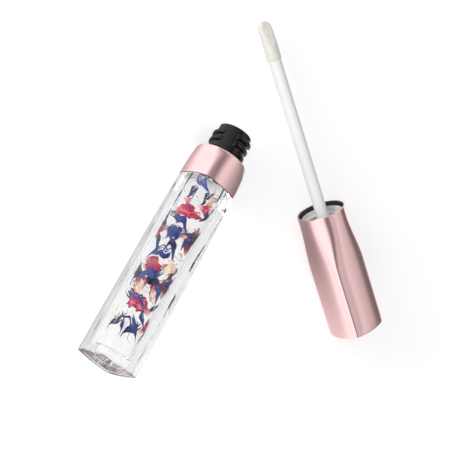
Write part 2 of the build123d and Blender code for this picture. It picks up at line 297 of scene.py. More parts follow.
def finish_group():
    """Group that varies a moulded or plated finish: slow and fine noise on Object coordinates give
    a roughness about its mean, and fine noise alone gives a height for the bump."""
    group, given, given_back = new_group("surface finish", {"Mean": 0.3, "Spread": 0.05, "Grain": 4000.0},
                                         ("Roughness", "Height"))
    where = own_place(group)
    slow, fine = noise(group, where, 160.0, 3.0), noise(group, where, given["Grain"], 2.0)
    centred = maths(group, "SUBTRACT", maths(group, "ADD", slow, fine), 1.0)
    roughness = maths(group, "MULTIPLY_ADD", centred, given["Spread"], given["Mean"])
    fill(group, given_back, {"Roughness": roughness, "Height": fine})
    return group


surface_finish = finish_group()


def finished(name, colour, mean, spread, grain, bump, metallic=0.0, specular=0.5):
    """Moulded or plated finish: one colour, roughness and bump from the shared group."""
    material, tree, body = shader(name, {"Base Color": (*colour, 1), "Metallic": metallic,
                                         "Specular IOR Level": specular})
    varied = node(tree, "Group", {"Mean": mean, "Spread": spread, "Grain": grain},
                  node_tree=surface_finish).outputs
    raised = node(tree, "Bump", {"Strength": bump, "Distance": 0.02 * mm, "Height": varied["Height"]})
    fill(tree, body, {"Roughness": varied["Roughness"], "Normal": raised.outputs["Normal"]})
    return material


bore = [ring(circle(phi, mid_side - collar_wall), collar_top - collar_plate),
        ring(circle(phi, mid_side - collar_wall), collar_bottom + seat_gap)]
collar_length = collar_top - collar_bottom
flank = [ring(blended(phi, 1, collar_corner, collar_chamfer), collar_bottom + seat_gap),
         ring(blended(phi, 1, collar_corner), collar_bottom + collar_chamfer)]
dome_end = math.asin(1 - collar_edge / collar_length)
for angle in np.linspace(0.03, dome_end, 26):
    flank.append(ring(blended(phi, math.cos(angle), collar_corner),
                      collar_bottom + collar_length * math.sin(angle)))
for step in arc(0, 90, 7)[1:]:
    inset = collar_edge * (1 - math.cos(step))
    lift = collar_top - collar_edge * (1 - math.sin(step))
    flank.append(ring(blended(phi, math.cos(dome_end), collar_corner, inset), lift))
rim = [ring(circle(phi, neck_base_radius + fit_gap), collar_top),
       ring(circle(phi, neck_base_radius + fit_gap), collar_top - collar_plate), bore[0]]
rose_metal = finished("rose metal", (0.84, 0.56, 0.56), 0.17, 0.04, 5200.0, 0.08, metallic=1.0)
bare_plastic = finished("bare plastic under the plating", (0.84, 0.83, 0.83), 0.35, 0.06, 2400.0, 0.06)
# Painted shade: the chamfer band at the collar's lower edge is coloured dark rose in place of the shade where
# collar and glass meet.
painted_shade_rim = finished("rose rim with painted shade", (0.20, 0.08, 0.075), 0.32, 0.04, 5200.0, 0.08, metallic=1.0)
collar_grids = [np.stack(flank[2:] + rim[:2]), np.stack(rim[1:] + bore[1:] + flank[:1]), np.stack(flank[:3])]
collar = skin("metal_collar", collar_grids, in_bottle, [rose_metal, bare_plastic, painted_shade_rim])
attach(collar, "bottle")
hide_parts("collar")

# ------------------------------------------------------------------------ neck
# Glossy black neck fitting: plug in the bottle's mouth, flange under the collar, and a coarse
# stepped thread that two smooth bands interrupt where the mould's halves part.

neck_top = base_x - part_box("neck")[0].x
neck_core_radius = 5.55 * mm
neck_bore_radius = 4.3 * mm
neck_base_height = 1.3 * mm
thread_crest = 6.45 * mm
thread_pitch = 2.5 * mm
thread_turns = 2.2
thread_start = collar_top + neck_base_height + 0.9 * mm
thread_half_root = 1.0 * mm
thread_half_crest = 0.35 * mm
thread_rows = 120
gap_direction = 3 * np.pi / 4
gap_half_angle = 22.0
gap_fade = 2.5
lip_rounding = 0.35 * mm
neck_chamfer = 0.15 * mm
flange_lift = 0.5 * mm
flange_play = 0.15 * mm
wiper_flange = 4.95 * mm
wiper_flange_height = 0.8 * mm


def helix_ridge(phi, height, start, turns, half_crest, half_root, taper):
    """How much of a screw ridge stands at a place, 0 to 1: full within half_crest of the helix,
    none past half_root, a smooth step between them, and run out over taper turns at both ends.
    The helix climbs one pitch a turn, right-handed, from the x direction."""
    polar = np.mod(np.pi / 2 - phi, 2 * np.pi)
    stands = np.zeros(np.broadcast(phi, height).shape)
    for lap in range(int(turns) + 1):
        turn = polar / (2 * np.pi) + lap
        off = np.abs(height - start - thread_pitch * turn)
        step = np.clip((half_root - off) / (half_root - half_crest), 0, 1)
        ends = np.clip(turn / taper, 0, 1) * np.clip((turns - turn) / taper, 0, 1)
        stands = np.maximum(stands, step * step * (3 - 2 * step) * ends)
    return stands


base_top = collar_top + neck_base_height
climb = np.linspace(base_top + 0.06 * mm, neck_top - lip_rounding - 0.1 * mm, thread_rows)[:, None]
bands = np.abs(np.mod(phi - gap_direction + np.pi / 2, np.pi) - np.pi / 2)
bands = np.clip((np.degrees(bands) - gap_half_angle) / gap_fade, 0, 1)
ridge = helix_ridge(phi, climb, thread_start, thread_turns, thread_half_crest, thread_half_root,
                    taper=0.04)
thread_radius = neck_core_radius + (thread_crest - neck_core_radius) * ridge * bands
thread = np.stack([thread_radius * np.sin(phi), thread_radius * np.cos(phi), climb + 0 * phi], -1)
flange_radius = mid_side - collar_wall - flange_play
plug_end = glass_top - plug_length
plug_radius = mouth_radius - fit_gap
flange_bottom = glass_top + flange_lift
below = turned([(neck_bore_radius, plug_end), (plug_radius, plug_end), (plug_radius, flange_bottom),
                (flange_radius, flange_bottom), (flange_radius, collar_top - collar_plate),
                (neck_base_radius, collar_top - collar_plate), (neck_base_radius, base_top - neck_chamfer),
                (neck_base_radius - neck_chamfer, base_top), (neck_core_radius, base_top)])
lip = [(neck_core_radius - lip_rounding * (1 - math.cos(step)),
        neck_top - lip_rounding * (1 - math.sin(step))) for step in arc(0, 90, 7)]
above = turned(lip + [(wiper_flange, neck_top), (wiper_flange, neck_top - wiper_flange_height),
                      (neck_bore_radius, neck_top - wiper_flange_height), (neck_bore_radius, plug_end)])
black_neck = finished("glossy black", (0.003, 0.003, 0.0035), 0.10, 0.05, 2600.0, 0.12, specular=0.32)
neck_grids = [np.concatenate([below[5:], thread, above[:-1]]), np.concatenate([above[-2:], below[:6]])]
neck = skin("threaded_neck", neck_grids, in_bottle, [black_neck, bare_plastic], smooth_below=40)
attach(neck, "bottle")
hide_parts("neck")

# ------------------------------------------------------------- wiper and seals
# Soft milky insert in the neck's mouth, whose cone wipes the wand as it is drawn, and two grey rubber
# seals: a ring between the neck's flange and the glass, and the washer under the liner's roof.

wiper_bottom = base_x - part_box("wiper")[1].x
wiper_wall = 0.7 * mm
wiper_orifice = 2.25 * mm
wiper_cone = 3.0 * mm
wiper_chamfer = 0.15 * mm
mouth_flare, mouth_flare_depth = 0.25 * mm, 0.3 * mm
lip_width, lip_land = 0.5 * mm, 0.2 * mm
wiper_outside = neck_bore_radius - fit_gap
wiper_inside = wiper_outside - wiper_wall
wiper_seat = neck_top - wiper_flange_height
wiper_rim = wiper_flange - fit_gap
wiper_profile = [(wiper_outside, wiper_seat), (wiper_rim, wiper_seat), (wiper_rim, neck_top - wiper_chamfer),
                 (wiper_rim - wiper_chamfer, neck_top), (wiper_inside + mouth_flare, neck_top),
                 (wiper_inside, neck_top - mouth_flare_depth),
                 (wiper_inside, wiper_bottom + wiper_cone + wiper_wall),
                 (wiper_orifice, wiper_bottom + lip_land), (wiper_orifice + wiper_chamfer, wiper_bottom),
                 (wiper_orifice + lip_width, wiper_bottom), (wiper_outside, wiper_bottom + wiper_cone)]
milky = finished("milky soft plastic", (0.86, 0.86, 0.85), 0.38, 0.06, 1800.0, 0.08)
wiper = skin("soft_wiper", [turned(wiper_profile + wiper_profile[:1], 96)], in_bottle, [milky])
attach(wiper, "bottle")
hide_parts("wiper")


def plain_finish(material, *pieces):
    """One finish for pieces whose solid needs no other mesh."""
    for piece in pieces:
        frame["nodes"][piece].data.materials.clear()
        frame["nodes"][piece].data.materials.append(material)


soft_grey = finished("soft grey seal", (0.30, 0.30, 0.31), 0.55, 0.08, 2200.0, 0.2)
plain_finish(soft_grey, "neck_gasket", "seal_washer")

# ------------------------------------------------------------------------- oil
# Clear oil that fills the cavity to just below the neck's plug. Light bends at the bottle's wall
# towards it, so that its own surface only carries the faintest tint.

oil_top = base_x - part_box("gloss_oil")[0].x
oil_film = 0.05 * mm
oil_profile = [(0.0, base_thickness + oil_film)]
oil_profile += [(cavity_bottom_radius - oil_film - (cavity_fillet - oil_film) * (1 - math.sin(step)),
                 base_thickness + oil_film + (cavity_fillet - oil_film) * (1 - math.cos(step)))
                for step in arc(0, 90, 8)]
oil_profile += [(cavity_top_radius - 2 * oil_film, oil_top), (0.0, oil_top)]
clear_oil = clear("clear oil", (0.998, 0.997, 0.99), 1.003)
oil = skin("clear_oil", [turned(oil_profile, 96)], in_bottle, [clear_oil])
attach(oil, "bottle")
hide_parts("gloss_oil")

# ---------------------------------------------------------------------- petals
# Real dried petals hung in the oil: blue florets with a narrow root and a lobed end, crumpled rose
# petals, scraps, threads and grains. All are thin and keep out of the way of the wand.

inner_way = 2.75 * mm
petal_room = cavity_bottom_radius - 0.22 * mm - inner_way
petal_low = base_thickness + 8.5 * mm
petal_high = oil_top - 2.0 * mm
golden_angle = math.radians(137.5)
rng = np.random.default_rng(41)


def petal_shapes(count, length, width, slant, depth, root, lobes, notch, twist, curl, thickness, low, high,
                 along=32, across=17):
    """Grids of the two faces of bent blades. A blade's middle line lies on a cylinder round the
    bottle's axis, slanted, bowed and waved. Its half width grows from root times its full width by a
    smooth step, notches shaped as a sine's absolute value cut its far end into pointed lobes, and it
    twists about its line, cups across and crumples in crossing sine ripples."""
    u = np.linspace(0, 1, along)[None, :, None]
    v = np.linspace(-1, 1, across)[None, None, :]

    def spread(lowest, highest):
        return rng.uniform(lowest, highest, (count, 1, 1))

    place = (np.arange(count)[:, None, None] + spread(0.1, 0.9)) / count
    place = place - 0.055 * np.sin(6 * np.pi * place)
    where = low + (high - low) * place
    around = golden_angle * np.arange(count)[:, None, None] + spread(-0.7, 0.7)
    radius = inner_way + petal_room * np.clip(depth + spread(-0.3, 0.3), 0.05, 0.95)
    size = length * spread(0.6, 1.15)
    breadth = width * spread(0.6, 1.2)
    lean = np.radians(slant) * rng.choice([-1, 1], (count, 1, 1)) * spread(0.3, 1.5)
    uneven = spread(-0.35, 0.35)
    cut = np.abs(np.sin(lobes * np.pi * (v + 1) / 2)) ** 0.8 * (1 + 0.5 * np.sin(3 * v + spread(0, 6)))
    run = u * (1 - notch * cut * u ** 1.5 - (0.10 + uneven * v / 2) * v ** 2 * u)
    swell = np.clip(u / 0.7, 0, 1)
    half = breadth * (root + (1 - root) * swell * swell * (3 - 2 * swell))
    half = half * (1 - 0.35 * np.clip(u - 0.8, 0, 1) / 0.2)
    half = half * (1 + 0.12 * np.sin(11 * u + spread(0, 6)) + 0.10 * np.sin(23 * u + spread(0, 6)) * v)
    bow = curl * (spread(-1, 1) * np.sin(np.pi * run) + spread(-0.4, 0.4) * np.sin(2.6 * np.pi * run))
    turn = spread(-1, 1) * twist * (run - 0.4) + spread(-0.6, 0.6)
    step_along = size * (run - 0.5)
    sideways = half * v * np.cos(turn)
    inward = half * v * np.sin(turn) + 0.5 * half * v ** 2 * spread(-1, 1)
    inward = inward + 0.16 * half * np.sin(9 * run + 5 * v + spread(0, 6))
    inward = inward + 0.10 * half * np.sin(17 * v + spread(0, 6))
    arc_length = step_along * np.sin(lean) + (bow + sideways) * np.cos(lean)
    rise = where + step_along * np.cos(lean) - (bow + sideways) * np.sin(lean)
    out = (radius + inward - inner_way) / petal_room
    distance = inner_way + petal_room * (0.5 + np.arctan(2.2 * out - 1.1) / np.pi)
    angle = around + arc_length / radius
    rise = np.clip(rise, base_thickness + 0.5 * mm, oil_top - 0.5 * mm)
    edge = thickness * (1 - v ** 2) * np.clip(12 * u, 0, 1) * np.clip(12 * (1 - u), 0, 1)
    faces = []
    for side in (1, -1):
        away = distance + side * edge / 2
        faces.append(np.stack(np.broadcast_arrays(away * np.sin(angle), away * np.cos(angle), rise), -1))
    return np.stack(faces, 1), u + 0 * rise, v + 0 * rise


def petal_piece(name, material, **shape):
    """One mesh of closed blades with a map along (U) and across (V), and each blade's own tone.
    shape goes on to petal_shapes."""
    grids, along_map, across_map = petal_shapes(**shape)
    count, sides, rows, cols = grids.shape[:4]
    index = np.arange(count * sides * rows * cols).reshape(count, sides, rows, cols)
    quads = np.stack([index[..., :-1, :-1], index[..., :-1, 1:], index[..., 1:, 1:], index[..., 1:, :-1]], -1)
    quads[:, 1] = quads[:, 1, :, :, ::-1]
    quads = quads.reshape(-1, 4)
    mesh = bpy.data.meshes.new(name)
    mesh.from_pydata(in_bottle(grids.reshape(-1, 3)).tolist(), [], quads.tolist())
    both = np.stack([along_map, (across_map + 1) / 2], -1)
    both = np.repeat(both[:, None], 2, 1).reshape(-1, 2)
    mesh.uv_layers.new(name="petal map").data.foreach_set("uv", both[quads.reshape(-1)].ravel())
    tone = mesh.attributes.new("tone", "FLOAT", "POINT")
    tone.data.foreach_set("value", np.repeat(rng.uniform(0, 1, count), sides * rows * cols))
    weld(mesh, 1e-8)
    mesh.shade_smooth()
    mesh.materials.append(material)
    piece = placed(name, mesh)
    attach(piece, "bottle")
    return piece


def ranged(tree, value, low, high, to_low=0.0, to_high=1.0):
    """A value carried evenly from the range low to high into another, and held at its ends."""
    return node(tree, "MapRange", {"Value": value, "From Min": low, "From Max": high, "To Min": to_low,
                                   "To Max": to_high}).outputs["Result"]


def petal_veins():
    """Group that reads a petal's map: Strand is noise drawn out along the petal, Wash is slow noise
    on Object coordinates shifted by each petal's tone, Root fades from its narrow end, and Rim
    rises at its side edges."""
    group, given, given_back = new_group("petal veins", {"Strands": 12.0, "Wash scale": 700.0},
                                         ("Strand", "Wash", "Root", "Rim"))
    mapped = node(group, "UVMap", {}, uv_map="petal map").outputs["UV"]
    lengthways, sideways, _ = node(group, "SeparateXYZ", {0: mapped}).outputs
    tone = node(group, "Attribute", {}, attribute_name="tone").outputs["Fac"]
    drawn_out = node(group, "CombineXYZ", {"X": maths(group, "MULTIPLY", lengthways, 1.6),
                                           "Y": maths(group, "MULTIPLY", sideways, given["Strands"]),
                                           "Z": maths(group, "MULTIPLY", tone, 37.0)})
    wash = noise(group, own_place(group), given["Wash scale"], 4.0)
    off_middle = maths(group, "PINGPONG", sideways, 0.5)
    fill(group, given_back, {"Strand": noise(group, drawn_out.outputs[0], 1.0, 3.0),
                             "Wash": maths(group, "MULTIPLY_ADD", tone, 0.34, wash),
                             "Root": ranged(group, lengthways, 0.32, 0.02),
                             "Rim": ranged(group, off_middle, 0.10, 0.0)})
    return group


petal_pattern = petal_veins()


def ramp(tree, by, *stops):
    """Colour from a ramp of (place, colour) pairs, read by a value."""
    made = node(tree, "ValToRGB", {"Fac": by})
    bar = made.color_ramp
    while len(bar.elements) < len(stops):
        bar.elements.new(0.5)
    for element, (place, colour) in zip(bar.elements, stops):
        element.position = place
        element.color = (*colour, 1)
    return made.outputs["Color"]


def laid_over(tree, share, under, over):
    """Colour over laid on colour under by a share."""
    return node(tree, "Mix", {"Factor": share, "A": under, "B": over}, data_type="RGBA").outputs["Result"]


def petal_colour(name, deep, middle, light, root_colour, rim_colour, strands, sheer=1.0):
    """Petal finish: lengthwise strands run from deep to light, their level shifted by the wash; the
    root and the rim take colours of their own. sheer below 1 lets light through where it is washed."""
    material, tree, body = shader(name, {"Roughness": 0.5, "Specular IOR Level": 0.2})
    pattern = node(tree, "Group", {"Strands": strands}, node_tree=petal_pattern).outputs
    level = maths(tree, "MULTIPLY_ADD", pattern["Strand"], 0.8, maths(tree, "MULTIPLY", pattern["Wash"], 0.5))
    shown = ramp(tree, level, (0.50, deep), (0.64, middle), (0.76, middle), (0.92, light))
    for mask, colour in (("Root", root_colour), ("Rim", rim_colour)):
        shown = laid_over(tree, pattern[mask], shown, (*colour, 1))
    raised = node(tree, "Bump", {"Strength": 0.9, "Distance": 0.12 * mm, "Height": pattern["Strand"]})
    fill(tree, body, {"Base Color": shown, "Normal": raised.outputs["Normal"]})
    if sheer < 1:
        fill(tree, body, {"Alpha": ranged(tree, pattern["Wash"], 0.35, 0.85, sheer, 0.95)})
    return material


blue = petal_colour("blue petal", (0.002, 0.004, 0.028), (0.009, 0.020, 0.145), (0.07, 0.11, 0.38),
                    (0.09, 0.02, 0.11), (0.008, 0.010, 0.07), 9.0)
blue_set = petal_piece("blue_petal_set", blue, count=30, length=10.0 * mm, width=1.3 * mm, slant=40,
                       depth=0.75, root=0.16, lobes=3, notch=0.36, twist=2.0, curl=1.3 * mm,
                       thickness=0.09 * mm, low=petal_low, high=petal_high)
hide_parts("blue_petals")

crimson = petal_colour("crimson petal", (0.06, 0.003, 0.03), (0.31, 0.009, 0.06), (0.72, 0.15, 0.17),
                       (0.86, 0.52, 0.45), (0.16, 0.008, 0.05), 5.0)
crimson_set = petal_piece("crimson_petal_set", crimson, count=11, length=7.8 * mm, width=2.3 * mm, slant=58,
                          depth=0.6, root=0.35, lobes=2, notch=0.22, twist=1.5, curl=1.0 * mm,
                          thickness=0.11 * mm, low=petal_low + 3 * mm, high=petal_high - 6 * mm)
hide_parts("red_petals")

washed_rose = petal_colour("washed rose petal", (0.90, 0.50, 0.38), (0.93, 0.66, 0.53), (0.96, 0.86, 0.78),
                           (0.88, 0.72, 0.45), (0.80, 0.30, 0.32), 4.0, sheer=0.25)
washed_set = petal_piece("washed_petal_set", washed_rose, count=4, length=6.0 * mm, width=1.8 * mm, slant=50,
                         depth=0.30, root=0.45, lobes=2, notch=0.18, twist=1.2, curl=0.8 * mm,
                         thickness=0.08 * mm, low=petal_low + 2 * mm, high=petal_high - 2 * mm)

tan = petal_colour("tan petal scrap", (0.45, 0.24, 0.07), (0.74, 0.52, 0.22), (0.90, 0.80, 0.62),
                   (0.20, 0.03, 0.09), (0.55, 0.30, 0.12), 6.0, sheer=0.55)
scrap_set = petal_piece("petal_scraps", tan, count=22, length=3.4 * mm, width=0.5 * mm, slant=45, depth=0.6,
                        root=0.2, lobes=2, notch=0.4, twist=2.0, curl=0.8 * mm, thickness=0.08 * mm,
                        low=petal_low, high=petal_high, along=16, across=9)
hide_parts("petal_flecks")

thread_set = petal_piece("petal_threads", blue, count=22, length=6.5 * mm, width=0.10 * mm, slant=60,
                         depth=0.7, root=0.5, lobes=1, notch=0.0, twist=2.0, curl=1.9 * mm,
                         thickness=0.09 * mm, low=petal_low - 2 * mm, high=petal_high, along=32, across=5)
grain_set = petal_piece("petal_grains", tan, count=60, length=0.5 * mm, width=0.14 * mm, slant=60, depth=0.6,
                        root=0.6, lobes=1, notch=0.0, twist=1.0, curl=0.05 * mm, thickness=0.12 * mm,
                        low=base_thickness + 2 * mm, high=petal_high, along=5, across=5)

# ------------------------------------------------------------------- cap shell
# Shell metallised in the same rose gold as the collar: round at its rim, so that it meets the
# collar, and a square with bulged sides at its closed end. One straight ridge runs up each corner.

joints = {joint["name"]: joint for joint in frame["joints"]}
rim_centre = np.array(joints["cap_turn"]["pos_m"])
towards_tip = np.array(joints["wand_insert"]["axis"])
level = np.cross(towards_tip, (0, 0, 1))
cap_corner = 9.2 * mm
cap_height = 44.4 * mm
cap_round_length = 3.0 * mm
cap_square_length = 24.0 * mm
shell_wall = 0.5 * mm
shell_end = 1.0 * mm
cap_edge = 0.65 * mm
rim_edge = 0.12 * mm
first_row, dense_rows_end = 0.3 * mm, 22 * mm


def in_cap(points):
    """Cap's own frame, rim at zero and closed end up, laid on its side at its heading."""
    x, y, z = points[..., :1], points[..., 1:2], points[..., 2:]
    return rim_centre - z * towards_tip - y * level + x * np.array((0, 0, 1))


shell_inner = mid_side - shell_wall
shell = []
for step in arc(0, 180, 9):
    shell.append(ring(circle(phi, shell_inner + shell_wall * (1 - math.cos(step)) / 2),
                      rim_edge * (1 - math.sin(step))))
straight = cap_height - cap_edge
blend_length = cap_height - cap_square_length - cap_round_length
for height in np.concatenate([np.linspace(first_row, dense_rows_end, 44),
                              np.linspace(dense_rows_end + 1 * mm, straight, 8)]):
    share = min(max((height - cap_round_length) / blend_length, 0), 1)
    shell.append(ring(blended(phi, share * share * (3 - 2 * share), cap_corner), height))
for step in arc(0, 90, 7)[1:]:
    inset = cap_edge * (1 - math.cos(step))
    shell.append(ring(squared(phi, mid_side - inset, cap_corner - inset, corner_radius - inset),
                      straight + cap_edge * math.sin(step)))
shell.append(ring(squared(phi, mid_side, cap_corner, corner_radius) * 0.4, cap_height))
shell.append(ring(circle(phi, 0), cap_height))
liner_top = cap_height - shell_end
inside = turned([(0.0, liner_top), (shell_inner, liner_top), (shell_inner, rim_edge)])
# The shell's inside is near black: partly its own dark colour, partly painted shade for the deep gap between
# shell and liner.
dark_inside_with_gap_shade = finished("dark inside with painted gap shade", (0.022, 0.022, 0.026), 0.35, 0.08, 2400.0, 0.1)
cap_shell = skin("cap_shell_metal", [np.stack(shell), inside], in_cap, [rose_metal, dark_inside_with_gap_shade])
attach(cap_shell, "cap")
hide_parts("cap_shell")

# ------------------------------------------------------------------- cap liner
# White moulded liner, set back inside the rim: its bore has the thread that takes the neck's, its
# roof holds the wand's head, and two bands seat it in the shell.

liner_recess = 1.5 * mm
liner_chamfer = 0.12 * mm
entry_width, entry_depth = 0.15 * mm, 0.2 * mm
liner_radius = 7.2 * mm
liner_bore = 6.6 * mm
liner_upper_bore = 6.4 * mm
liner_roof = 10.8 * mm
liner_roof_top = 12.2 * mm
roof_hole = 2.15 * mm
band_radius = shell_inner - fit_gap
band_length = 4 * mm
lower_band = 14 * mm
upper_band = liner_top - 2 * band_length
inner_thread_depth = 0.8 * mm
inner_thread_start = 2.1 * mm
inner_thread_low, inner_thread_high = 1.8 * mm, 9.9 * mm
inner_thread_rows = 110

thread_heights = np.linspace(inner_thread_low, inner_thread_high, inner_thread_rows)[:, None]
inner_ridge = helix_ridge(phi, thread_heights, inner_thread_start, turns=2.0, half_crest=0.22 * mm,
                          half_root=0.5 * mm, taper=0.06)
inner_radius = liner_bore - inner_thread_depth * inner_ridge
bore_thread = np.stack([inner_radius * np.sin(phi), inner_radius * np.cos(phi), thread_heights + 0 * phi], -1)
outer_wall = turned([(liner_upper_bore, liner_roof_top), (liner_upper_bore, liner_top),
                     (liner_radius, liner_top), (liner_radius, upper_band + band_length),
                     (band_radius, upper_band + band_length), (band_radius, upper_band),
                     (liner_radius, upper_band), (liner_radius, lower_band + band_length),
                     (band_radius, lower_band + band_length), (band_radius, lower_band),
                     (liner_radius, lower_band), (liner_radius, liner_recess + liner_chamfer),
                     (liner_radius - liner_chamfer, liner_recess), (liner_bore + entry_width, liner_recess),
                     (liner_bore, liner_recess + entry_depth)])
roof = turned([(liner_bore, liner_roof), (roof_hole, liner_roof), (roof_hole, liner_roof_top),
               (liner_upper_bore, liner_roof_top)])
white_plastic = finished("white moulded plastic", (0.90, 0.90, 0.90), 0.30, 0.05, 2400.0, 0.06)
liner = skin("cap_liner", [np.concatenate([outer_wall, bore_thread, roof])], in_cap, [white_plastic])
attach(liner, "cap")
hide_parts("inner_cap")

# -------------------------------------------------------------- hidden pieces
# The steel sleeve that gives the cap its heft, the moulded core under the flock, and a plain plastic
# pin. The pin only fills a body in the joint chain: it does not slide with the wand.

plain_steel = finished("plain steel", (0.55, 0.55, 0.56), 0.35, 0.1, 3000.0, 0.2, metallic=1.0)
core_plastic = finished("core plastic", (0.78, 0.77, 0.74), 0.45, 0.06, 2600.0, 0.1)
plain_finish(plain_steel, "cap_weight")
plain_finish(core_plastic, "wand_core", "applicator_core")

# ------------------------------------------------------------------------ stem
# Slim white moulded stem, hollow, with a stepped boss under the liner's roof, a head above it
# and a spigot for the applicator.

applicator_root = 54.1 * mm
stem_radius = 2.1 * mm
stem_bore = 0.95 * mm
spigot_radius = 1.2 * mm
spigot_length = 4 * mm
hollow_floor = 1.0 * mm
head_radius = 3.6 * mm
head_height = 1.2 * mm
boss_radius = 2.9 * mm
boss_length = 3.9 * mm

boss_bottom = liner_roof - boss_length
head_top = liner_roof_top + head_height
spigot_end = -applicator_root - spigot_length
hollow_end = -applicator_root + hollow_floor
stem_profile = [(stem_bore, head_top), (head_radius, head_top), (head_radius, liner_roof_top),
                (stem_radius, liner_roof_top), (stem_radius, liner_roof), (boss_radius, liner_roof),
                (boss_radius, boss_bottom + 0.2 * mm), (boss_radius - 0.1 * mm, boss_bottom),
                (stem_radius + 0.12 * mm, boss_bottom - 1.35 * mm), (stem_radius, boss_bottom - 1.6 * mm),
                (stem_radius, -applicator_root), (spigot_radius, -applicator_root),
                (spigot_radius, spigot_end), (0.0, spigot_end)]
stem_hollow = [(0.0, hollow_end), (stem_bore, hollow_end), (stem_bore, head_top)]
stem = skin("wand_stem_white", [turned(stem_profile, 72), turned(stem_hollow, 72)], in_cap,
            [white_plastic])
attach(stem, "cap")
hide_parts("wand_stem")

# ------------------------------------------------------------------ flocked tip
# Doe-foot applicator: a round-nosed body with one slanted face, flocked all over with short ivory
# fibres that stand up from it.

wand_reach = 67.4 * mm
foot_radius = 2.5 * mm
flock_depth = 0.35 * mm
slant_length = 8.5 * mm
slant_depth = 2.1 * mm
fibre_count = 9000
fibre_length = 0.17 * mm
fibre_radius = 0.022 * mm
fibre_lean = 0.35
spigot_hole = 1.25 * mm


def doe_foot(along, phi, inset):
    """Surface of the applicator: along runs 0 at the root to 1 at the tip. The radius is a rounded
    nose's, and towards +x it gives way smoothly to the slanted plane's distance."""
    reach = wand_reach - inset
    height = -applicator_root - (reach - applicator_root) * along
    radius = foot_radius - inset
    to_tip = height + reach
    nose = np.clip(1 - np.clip(1 - to_tip / radius, 0, 1) ** 2, 0, 1) ** 0.5 * radius
    plane = radius - np.clip(slant_length - to_tip, 0, None) * slant_depth / slant_length
    towards = np.clip(np.sin(phi), 1e-3, None)
    sharp = 7.0
    out = (np.maximum(nose, 1e-9) ** -sharp + (plane / towards) ** -sharp) ** (-1 / sharp)
    out = np.where(nose <= 1e-9, 0, out)
    return np.stack(np.broadcast_arrays(out * np.sin(phi), out * np.cos(phi), height), -1)


round_turn = turn_angles(72)
spacing = np.concatenate([np.linspace(0, 0.8, 40), 1 - 0.2 * np.cos(arc(0, 90, 26))[1:]])
coat = doe_foot(spacing[:, None], round_turn, flock_depth * 0.45)
coat[-1] = coat[-1].mean(0)
root_inside = np.stack([ring(circle(round_turn, radius), -applicator_root) for radius in (0.0, spigot_hole)])
ivory, ivory_tree, ivory_body = shader("ivory flock", {"Roughness": 0.9, "Sheen Weight": 0.3,
                                                       "Sheen Roughness": 0.5, "Specular IOR Level": 0.1})
ivory_tint = noise(ivory_tree, own_place(ivory_tree), 1500.0, 2.0)
fill(ivory_tree, ivory_body, {"Base Color": ramp(ivory_tree, ivory_tint, (0.3, (0.80, 0.755, 0.70)),
                                                 (0.7, (0.90, 0.87, 0.83)))})
tip = skin("flocked_tip", [np.concatenate([root_inside, coat])], in_cap, [ivory], smooth_below=60)
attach(tip, "cap")
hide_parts("flock_tip")

# Fibres: each is a three-sided spike, its root in the coat and its point out along the surface's
# normal with a little lean, spread evenly by the golden angle.
order = (np.arange(fibre_count) + 0.5) / fibre_count
fibre_turn = np.mod(order * fibre_count * golden_angle, 2 * np.pi)
fibre_along = np.clip(order, 0.0, 0.985)
rooted = flock_depth * 0.5
here = doe_foot(fibre_along, fibre_turn, rooted)
further = doe_foot(np.clip(fibre_along + 0.004, 0, 0.995), fibre_turn, rooted)
next_to = doe_foot(fibre_along, fibre_turn + 0.03, rooted)
outward = np.cross(further - here, next_to - here)
mid_tip = (0, 0, -applicator_root - 7 * mm)
outward *= np.sign((outward * (here - mid_tip)).sum(-1))[:, None]
outward /= np.linalg.norm(outward, axis=-1, keepdims=True) + 1e-12
leaning = outward + fibre_lean * rng.standard_normal((fibre_count, 3))
leaning /= np.linalg.norm(leaning, axis=-1, keepdims=True)
first = np.cross(leaning, (0.37, 0.61, 0.7))
first /= np.linalg.norm(first, axis=-1, keepdims=True)
second = np.cross(leaning, first)
fibre_size = fibre_length * rng.uniform(0.6, 1.0, (fibre_count, 1))
corners = [here + fibre_radius * (math.cos(turn) * first + math.sin(turn) * second)
           for turn in (0, 2 * math.pi / 3, 4 * math.pi / 3)]
spikes = np.stack(corners + [here + leaning * fibre_size], 1)
spike_index = 4 * np.arange(fibre_count)[:, None, None]
spike_faces = (spike_index + np.array([[0, 1, 3], [1, 2, 3], [2, 0, 3], [0, 2, 1]])).reshape(-1, 3)
fibre_mesh = bpy.data.meshes.new("flock_fibres")
fibre_mesh.from_pydata(in_cap(spikes.reshape(-1, 3)).tolist(), [], spike_faces.tolist())
fibre_mesh.materials.append(ivory)
fibres = placed("flock_fibres", fibre_mesh)
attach(fibres, "cap")

# ----------------------------------------------------------------------- table
# White table with a light of its own, 1 at most, that keeps the ground white. In reflections it
# carries painted shade: darker round one point by the cap, as if a dark card lay there, and close
# beside the bottle, as if in the bottle's shade.

floor_half = 3.0
painted_card_place = (-0.008, 0.010, 0.0)
card_near, card_far = 6 * mm, 60 * mm
beside_near, beside_far, beside_light = 7.5 * mm, 14.5 * mm, 0.15
ground_light, light_through_glass = 0.62, 0.68


def vectors(tree, operation, first, second, result="Value"):
    """Result of a calculation on two vectors: a value, or with result="Vector" a vector."""
    return node(tree, "VectorMath", {0: first, 1: second}, operation=operation).outputs[result]


